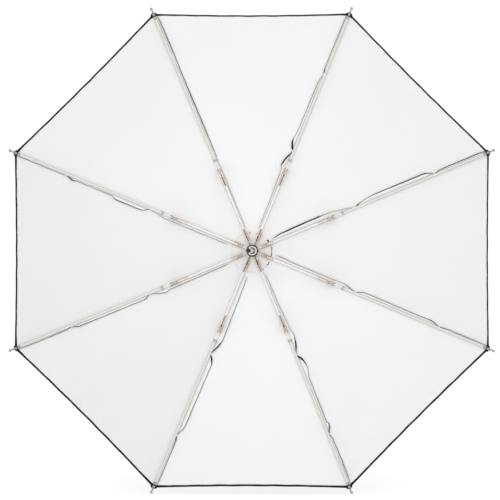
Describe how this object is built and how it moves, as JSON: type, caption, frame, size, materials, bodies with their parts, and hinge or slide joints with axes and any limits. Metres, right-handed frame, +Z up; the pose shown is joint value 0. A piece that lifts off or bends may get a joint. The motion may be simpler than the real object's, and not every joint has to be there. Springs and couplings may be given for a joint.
{
  "type": "umbrella reflector",
  "caption": "Open photographic reflector umbrella: folding ribs and stretchers on a straight shaft with a sliding runner, white lining inside a black cover.",
  "frame": {"origin": "free tail end of the shaft tube, on the shaft's axis; the tail cap stands 3 mm proud of it", "axes": "+Y along the shaft towards the crown, the bowl opens towards -Y, +Z up, ribs at 22.5 degrees and every 45 degrees after in the XZ plane"},
  "size_m": [0.9382, 0.6743, 0.9382],
  "materials": {
    "shaft_steel": "bright nickel-plated steel tube",
    "black_plastic": "matt black moulded plastic",
    "notch_metal": "plated die-cast metal",
    "runner_metal": "plated metal with dark recesses",
    "wire_steel": "bright steel wire",
    "fibreglass": "pale translucent fibreglass rod",
    "bronze_plate": "bronze-coloured plated pressed steel",
    "white_plastic": "white moulded plastic",
    "tip_metal": "silver plated tip",
    "white_lining": "satin white woven cloth",
    "black_cover": "opaque black woven cloth",
    "white_cloth": "white cloth with a pinked edge",
    "white_thread": "white sewing thread"
  },
  "bodies": {
    "root": {"shaft": "shaft_steel", "tail_cap": "black_plastic", "crown_notch": "notch_metal", "crown_wire_and_pins": "wire_steel", "ferrule": "black_plastic", "rosette": "white_cloth", "canopy_lining": "white_lining", "canopy_cover": "black_cover", "thread_ties": "white_thread"},
    "runner": {"runner": "runner_metal", "runner_wire": "wire_steel"},
    "catch": {"runner_catch": "wire_steel"},
    "rib_1": {"rib_rod_1": "fibreglass", "rib_root_1": "bronze_plate", "rib_bracket_1": "white_plastic", "rib_tip_1": "tip_metal"},
    "stretcher_1": {"stretcher_rod_1": "fibreglass", "stretcher_ends_1": "bronze_plate"},
    "rib_2": {"rib_rod_2": "fibreglass", "rib_root_2": "bronze_plate", "rib_bracket_2": "white_plastic", "rib_tip_2": "tip_metal"},
    "stretcher_2": {"stretcher_rod_2": "fibreglass", "stretcher_ends_2": "bronze_plate"},
    "rib_3": {"rib_rod_3": "fibreglass", "rib_root_3": "bronze_plate", "rib_bracket_3": "white_plastic", "rib_tip_3": "tip_metal"},
    "stretcher_3": {"stretcher_rod_3": "fibreglass", "stretcher_ends_3": "bronze_plate"},
    "rib_4": {"rib_rod_4": "fibreglass", "rib_root_4": "bronze_plate", "rib_bracket_4": "white_plastic", "rib_tip_4": "tip_metal"},
    "stretcher_4": {"stretcher_rod_4": "fibreglass", "stretcher_ends_4": "bronze_plate"},
    "rib_5": {"rib_rod_5": "fibreglass", "rib_root_5": "bronze_plate", "rib_bracket_5": "white_plastic", "rib_tip_5": "tip_metal"},
    "stretcher_5": {"stretcher_rod_5": "fibreglass", "stretcher_ends_5": "bronze_plate"},
    "rib_6": {"rib_rod_6": "fibreglass", "rib_root_6": "bronze_plate", "rib_bracket_6": "white_plastic", "rib_tip_6": "tip_metal"},
    "stretcher_6": {"stretcher_rod_6": "fibreglass", "stretcher_ends_6": "bronze_plate"},
    "rib_7": {"rib_rod_7": "fibreglass", "rib_root_7": "bronze_plate", "rib_bracket_7": "white_plastic", "rib_tip_7": "tip_metal"},
    "stretcher_7": {"stretcher_rod_7": "fibreglass", "stretcher_ends_7": "bronze_plate"},
    "rib_8": {"rib_rod_8": "fibreglass", "rib_root_8": "bronze_plate", "rib_bracket_8": "white_plastic", "rib_tip_8": "tip_metal"},
    "stretcher_8": {"stretcher_rod_8": "fibreglass", "stretcher_ends_8": "bronze_plate"}
  },
  "joints": [
    {"name": "rib_1_fold", "type": "hinge", "parent": "root", "child": "rib_1", "pos_m": [0.00924, 0.64, 0.00383], "axis": [0.3827, 0, -0.9239], "range_deg": [0, 64], "deforming": ["canopy_lining", "canopy_cover", "rosette", "thread_ties", "runner_catch"]},
    {"name": "stretcher_1_swing", "type": "hinge", "parent": "rib_1", "child": "stretcher_1", "pos_m": [0.16591, 0.60424, 0.06872], "axis": [0.3827, 0, -0.9239], "range_deg": [-128, 0]},
    {"name": "rib_2_fold", "type": "hinge", "parent": "root", "child": "rib_2", "pos_m": [0.00383, 0.64, 0.00924], "axis": [0.9239, 0, -0.3827], "range_deg": [0, 64]},
    {"name": "stretcher_2_swing", "type": "hinge", "parent": "rib_2", "child": "stretcher_2", "pos_m": [0.06872, 0.60424, 0.16591], "axis": [0.9239, 0, -0.3827], "range_deg": [-128, 0]},
    {"name": "rib_3_fold", "type": "hinge", "parent": "root", "child": "rib_3", "pos_m": [-0.00383, 0.64, 0.00924], "axis": [0.9239, 0, 0.3827], "range_deg": [0, 64]},
    {"name": "stretcher_3_swing", "type": "hinge", "parent": "rib_3", "child": "stretcher_3", "pos_m": [-0.06872, 0.60424, 0.16591], "axis": [0.9239, 0, 0.3827], "range_deg": [-128, 0]},
    {"name": "rib_4_fold", "type": "hinge", "parent": "root", "child": "rib_4", "pos_m": [-0.00924, 0.64, 0.00383], "axis": [0.3827, 0, 0.9239], "range_deg": [0, 64]},
    {"name": "stretcher_4_swing", "type": "hinge", "parent": "rib_4", "child": "stretcher_4", "pos_m": [-0.16591, 0.60424, 0.06872], "axis": [0.3827, 0, 0.9239], "range_deg": [-128, 0]},
    {"name": "rib_5_fold", "type": "hinge", "parent": "root", "child": "rib_5", "pos_m": [-0.00924, 0.64, -0.00383], "axis": [-0.3827, 0, 0.9239], "range_deg": [0, 64]},
    {"name": "stretcher_5_swing", "type": "hinge", "parent": "rib_5", "child": "stretcher_5", "pos_m": [-0.16591, 0.60424, -0.06872], "axis": [-0.3827, 0, 0.9239], "range_deg": [-128, 0]},
    {"name": "rib_6_fold", "type": "hinge", "parent": "root", "child": "rib_6", "pos_m": [-0.00383, 0.64, -0.00924], "axis": [-0.9239, 0, 0.3827], "range_deg": [0, 64]},
    {"name": "stretcher_6_swing", "type": "hinge", "parent": "rib_6", "child": "stretcher_6", "pos_m": [-0.06872, 0.60424, -0.16591], "axis": [-0.9239, 0, 0.3827], "range_deg": [-128, 0]},
    {"name": "rib_7_fold", "type": "hinge", "parent": "root", "child": "rib_7", "pos_m": [0.00383, 0.64, -0.00924], "axis": [-0.9239, 0, -0.3827], "range_deg": [0, 64]},
    {"name": "stretcher_7_swing", "type": "hinge", "parent": "rib_7", "child": "stretcher_7", "pos_m": [0.06872, 0.60424, -0.16591], "axis": [-0.9239, 0, -0.3827], "range_deg": [-128, 0]},
    {"name": "rib_8_fold", "type": "hinge", "parent": "root", "child": "rib_8", "pos_m": [0.00924, 0.64, -0.00383], "axis": [-0.3827, 0, -0.9239], "range_deg": [0, 64]},
    {"name": "stretcher_8_swing", "type": "hinge", "parent": "rib_8", "child": "stretcher_8", "pos_m": [0.16591, 0.60424, -0.06872], "axis": [-0.3827, 0, -0.9239], "range_deg": [-128, 0]},
    {"name": "runner_hinge", "type": "hinge", "parent": "stretcher_1", "child": "runner", "pos_m": [0.00924, 0.56848, 0.00383], "axis": [0.3827, 0, -0.9239], "range_deg": [0, 64]},
    {"name": "catch_press", "type": "slide", "parent": "root", "child": "catch", "axis": [-1, 0, 0], "range_m": [0, 0.0025], "stiffness_N_per_m": 400}
  ],
  "couplings": [
    {"joint": "stretcher_1_swing", "follows": "rib_1_fold", "ratio": -2},
    {"joint": "rib_2_fold", "follows": "rib_1_fold", "ratio": 1},
    {"joint": "stretcher_2_swing", "follows": "rib_1_fold", "ratio": -2},
    {"joint": "rib_3_fold", "follows": "rib_1_fold", "ratio": 1},
    {"joint": "stretcher_3_swing", "follows": "rib_1_fold", "ratio": -2},
    {"joint": "rib_4_fold", "follows": "rib_1_fold", "ratio": 1},
    {"joint": "stretcher_4_swing", "follows": "rib_1_fold", "ratio": -2},
    {"joint": "rib_5_fold", "follows": "rib_1_fold", "ratio": 1},
    {"joint": "stretcher_5_swing", "follows": "rib_1_fold", "ratio": -2},
    {"joint": "rib_6_fold", "follows": "rib_1_fold", "ratio": 1},
    {"joint": "stretcher_6_swing", "follows": "rib_1_fold", "ratio": -2},
    {"joint": "rib_7_fold", "follows": "rib_1_fold", "ratio": 1},
    {"joint": "stretcher_7_swing", "follows": "rib_1_fold", "ratio": -2},
    {"joint": "rib_8_fold", "follows": "rib_1_fold", "ratio": 1},
    {"joint": "stretcher_8_swing", "follows": "rib_1_fold", "ratio": -2},
    {"joint": "runner_hinge", "follows": "rib_1_fold", "ratio": 1}
  ]
}
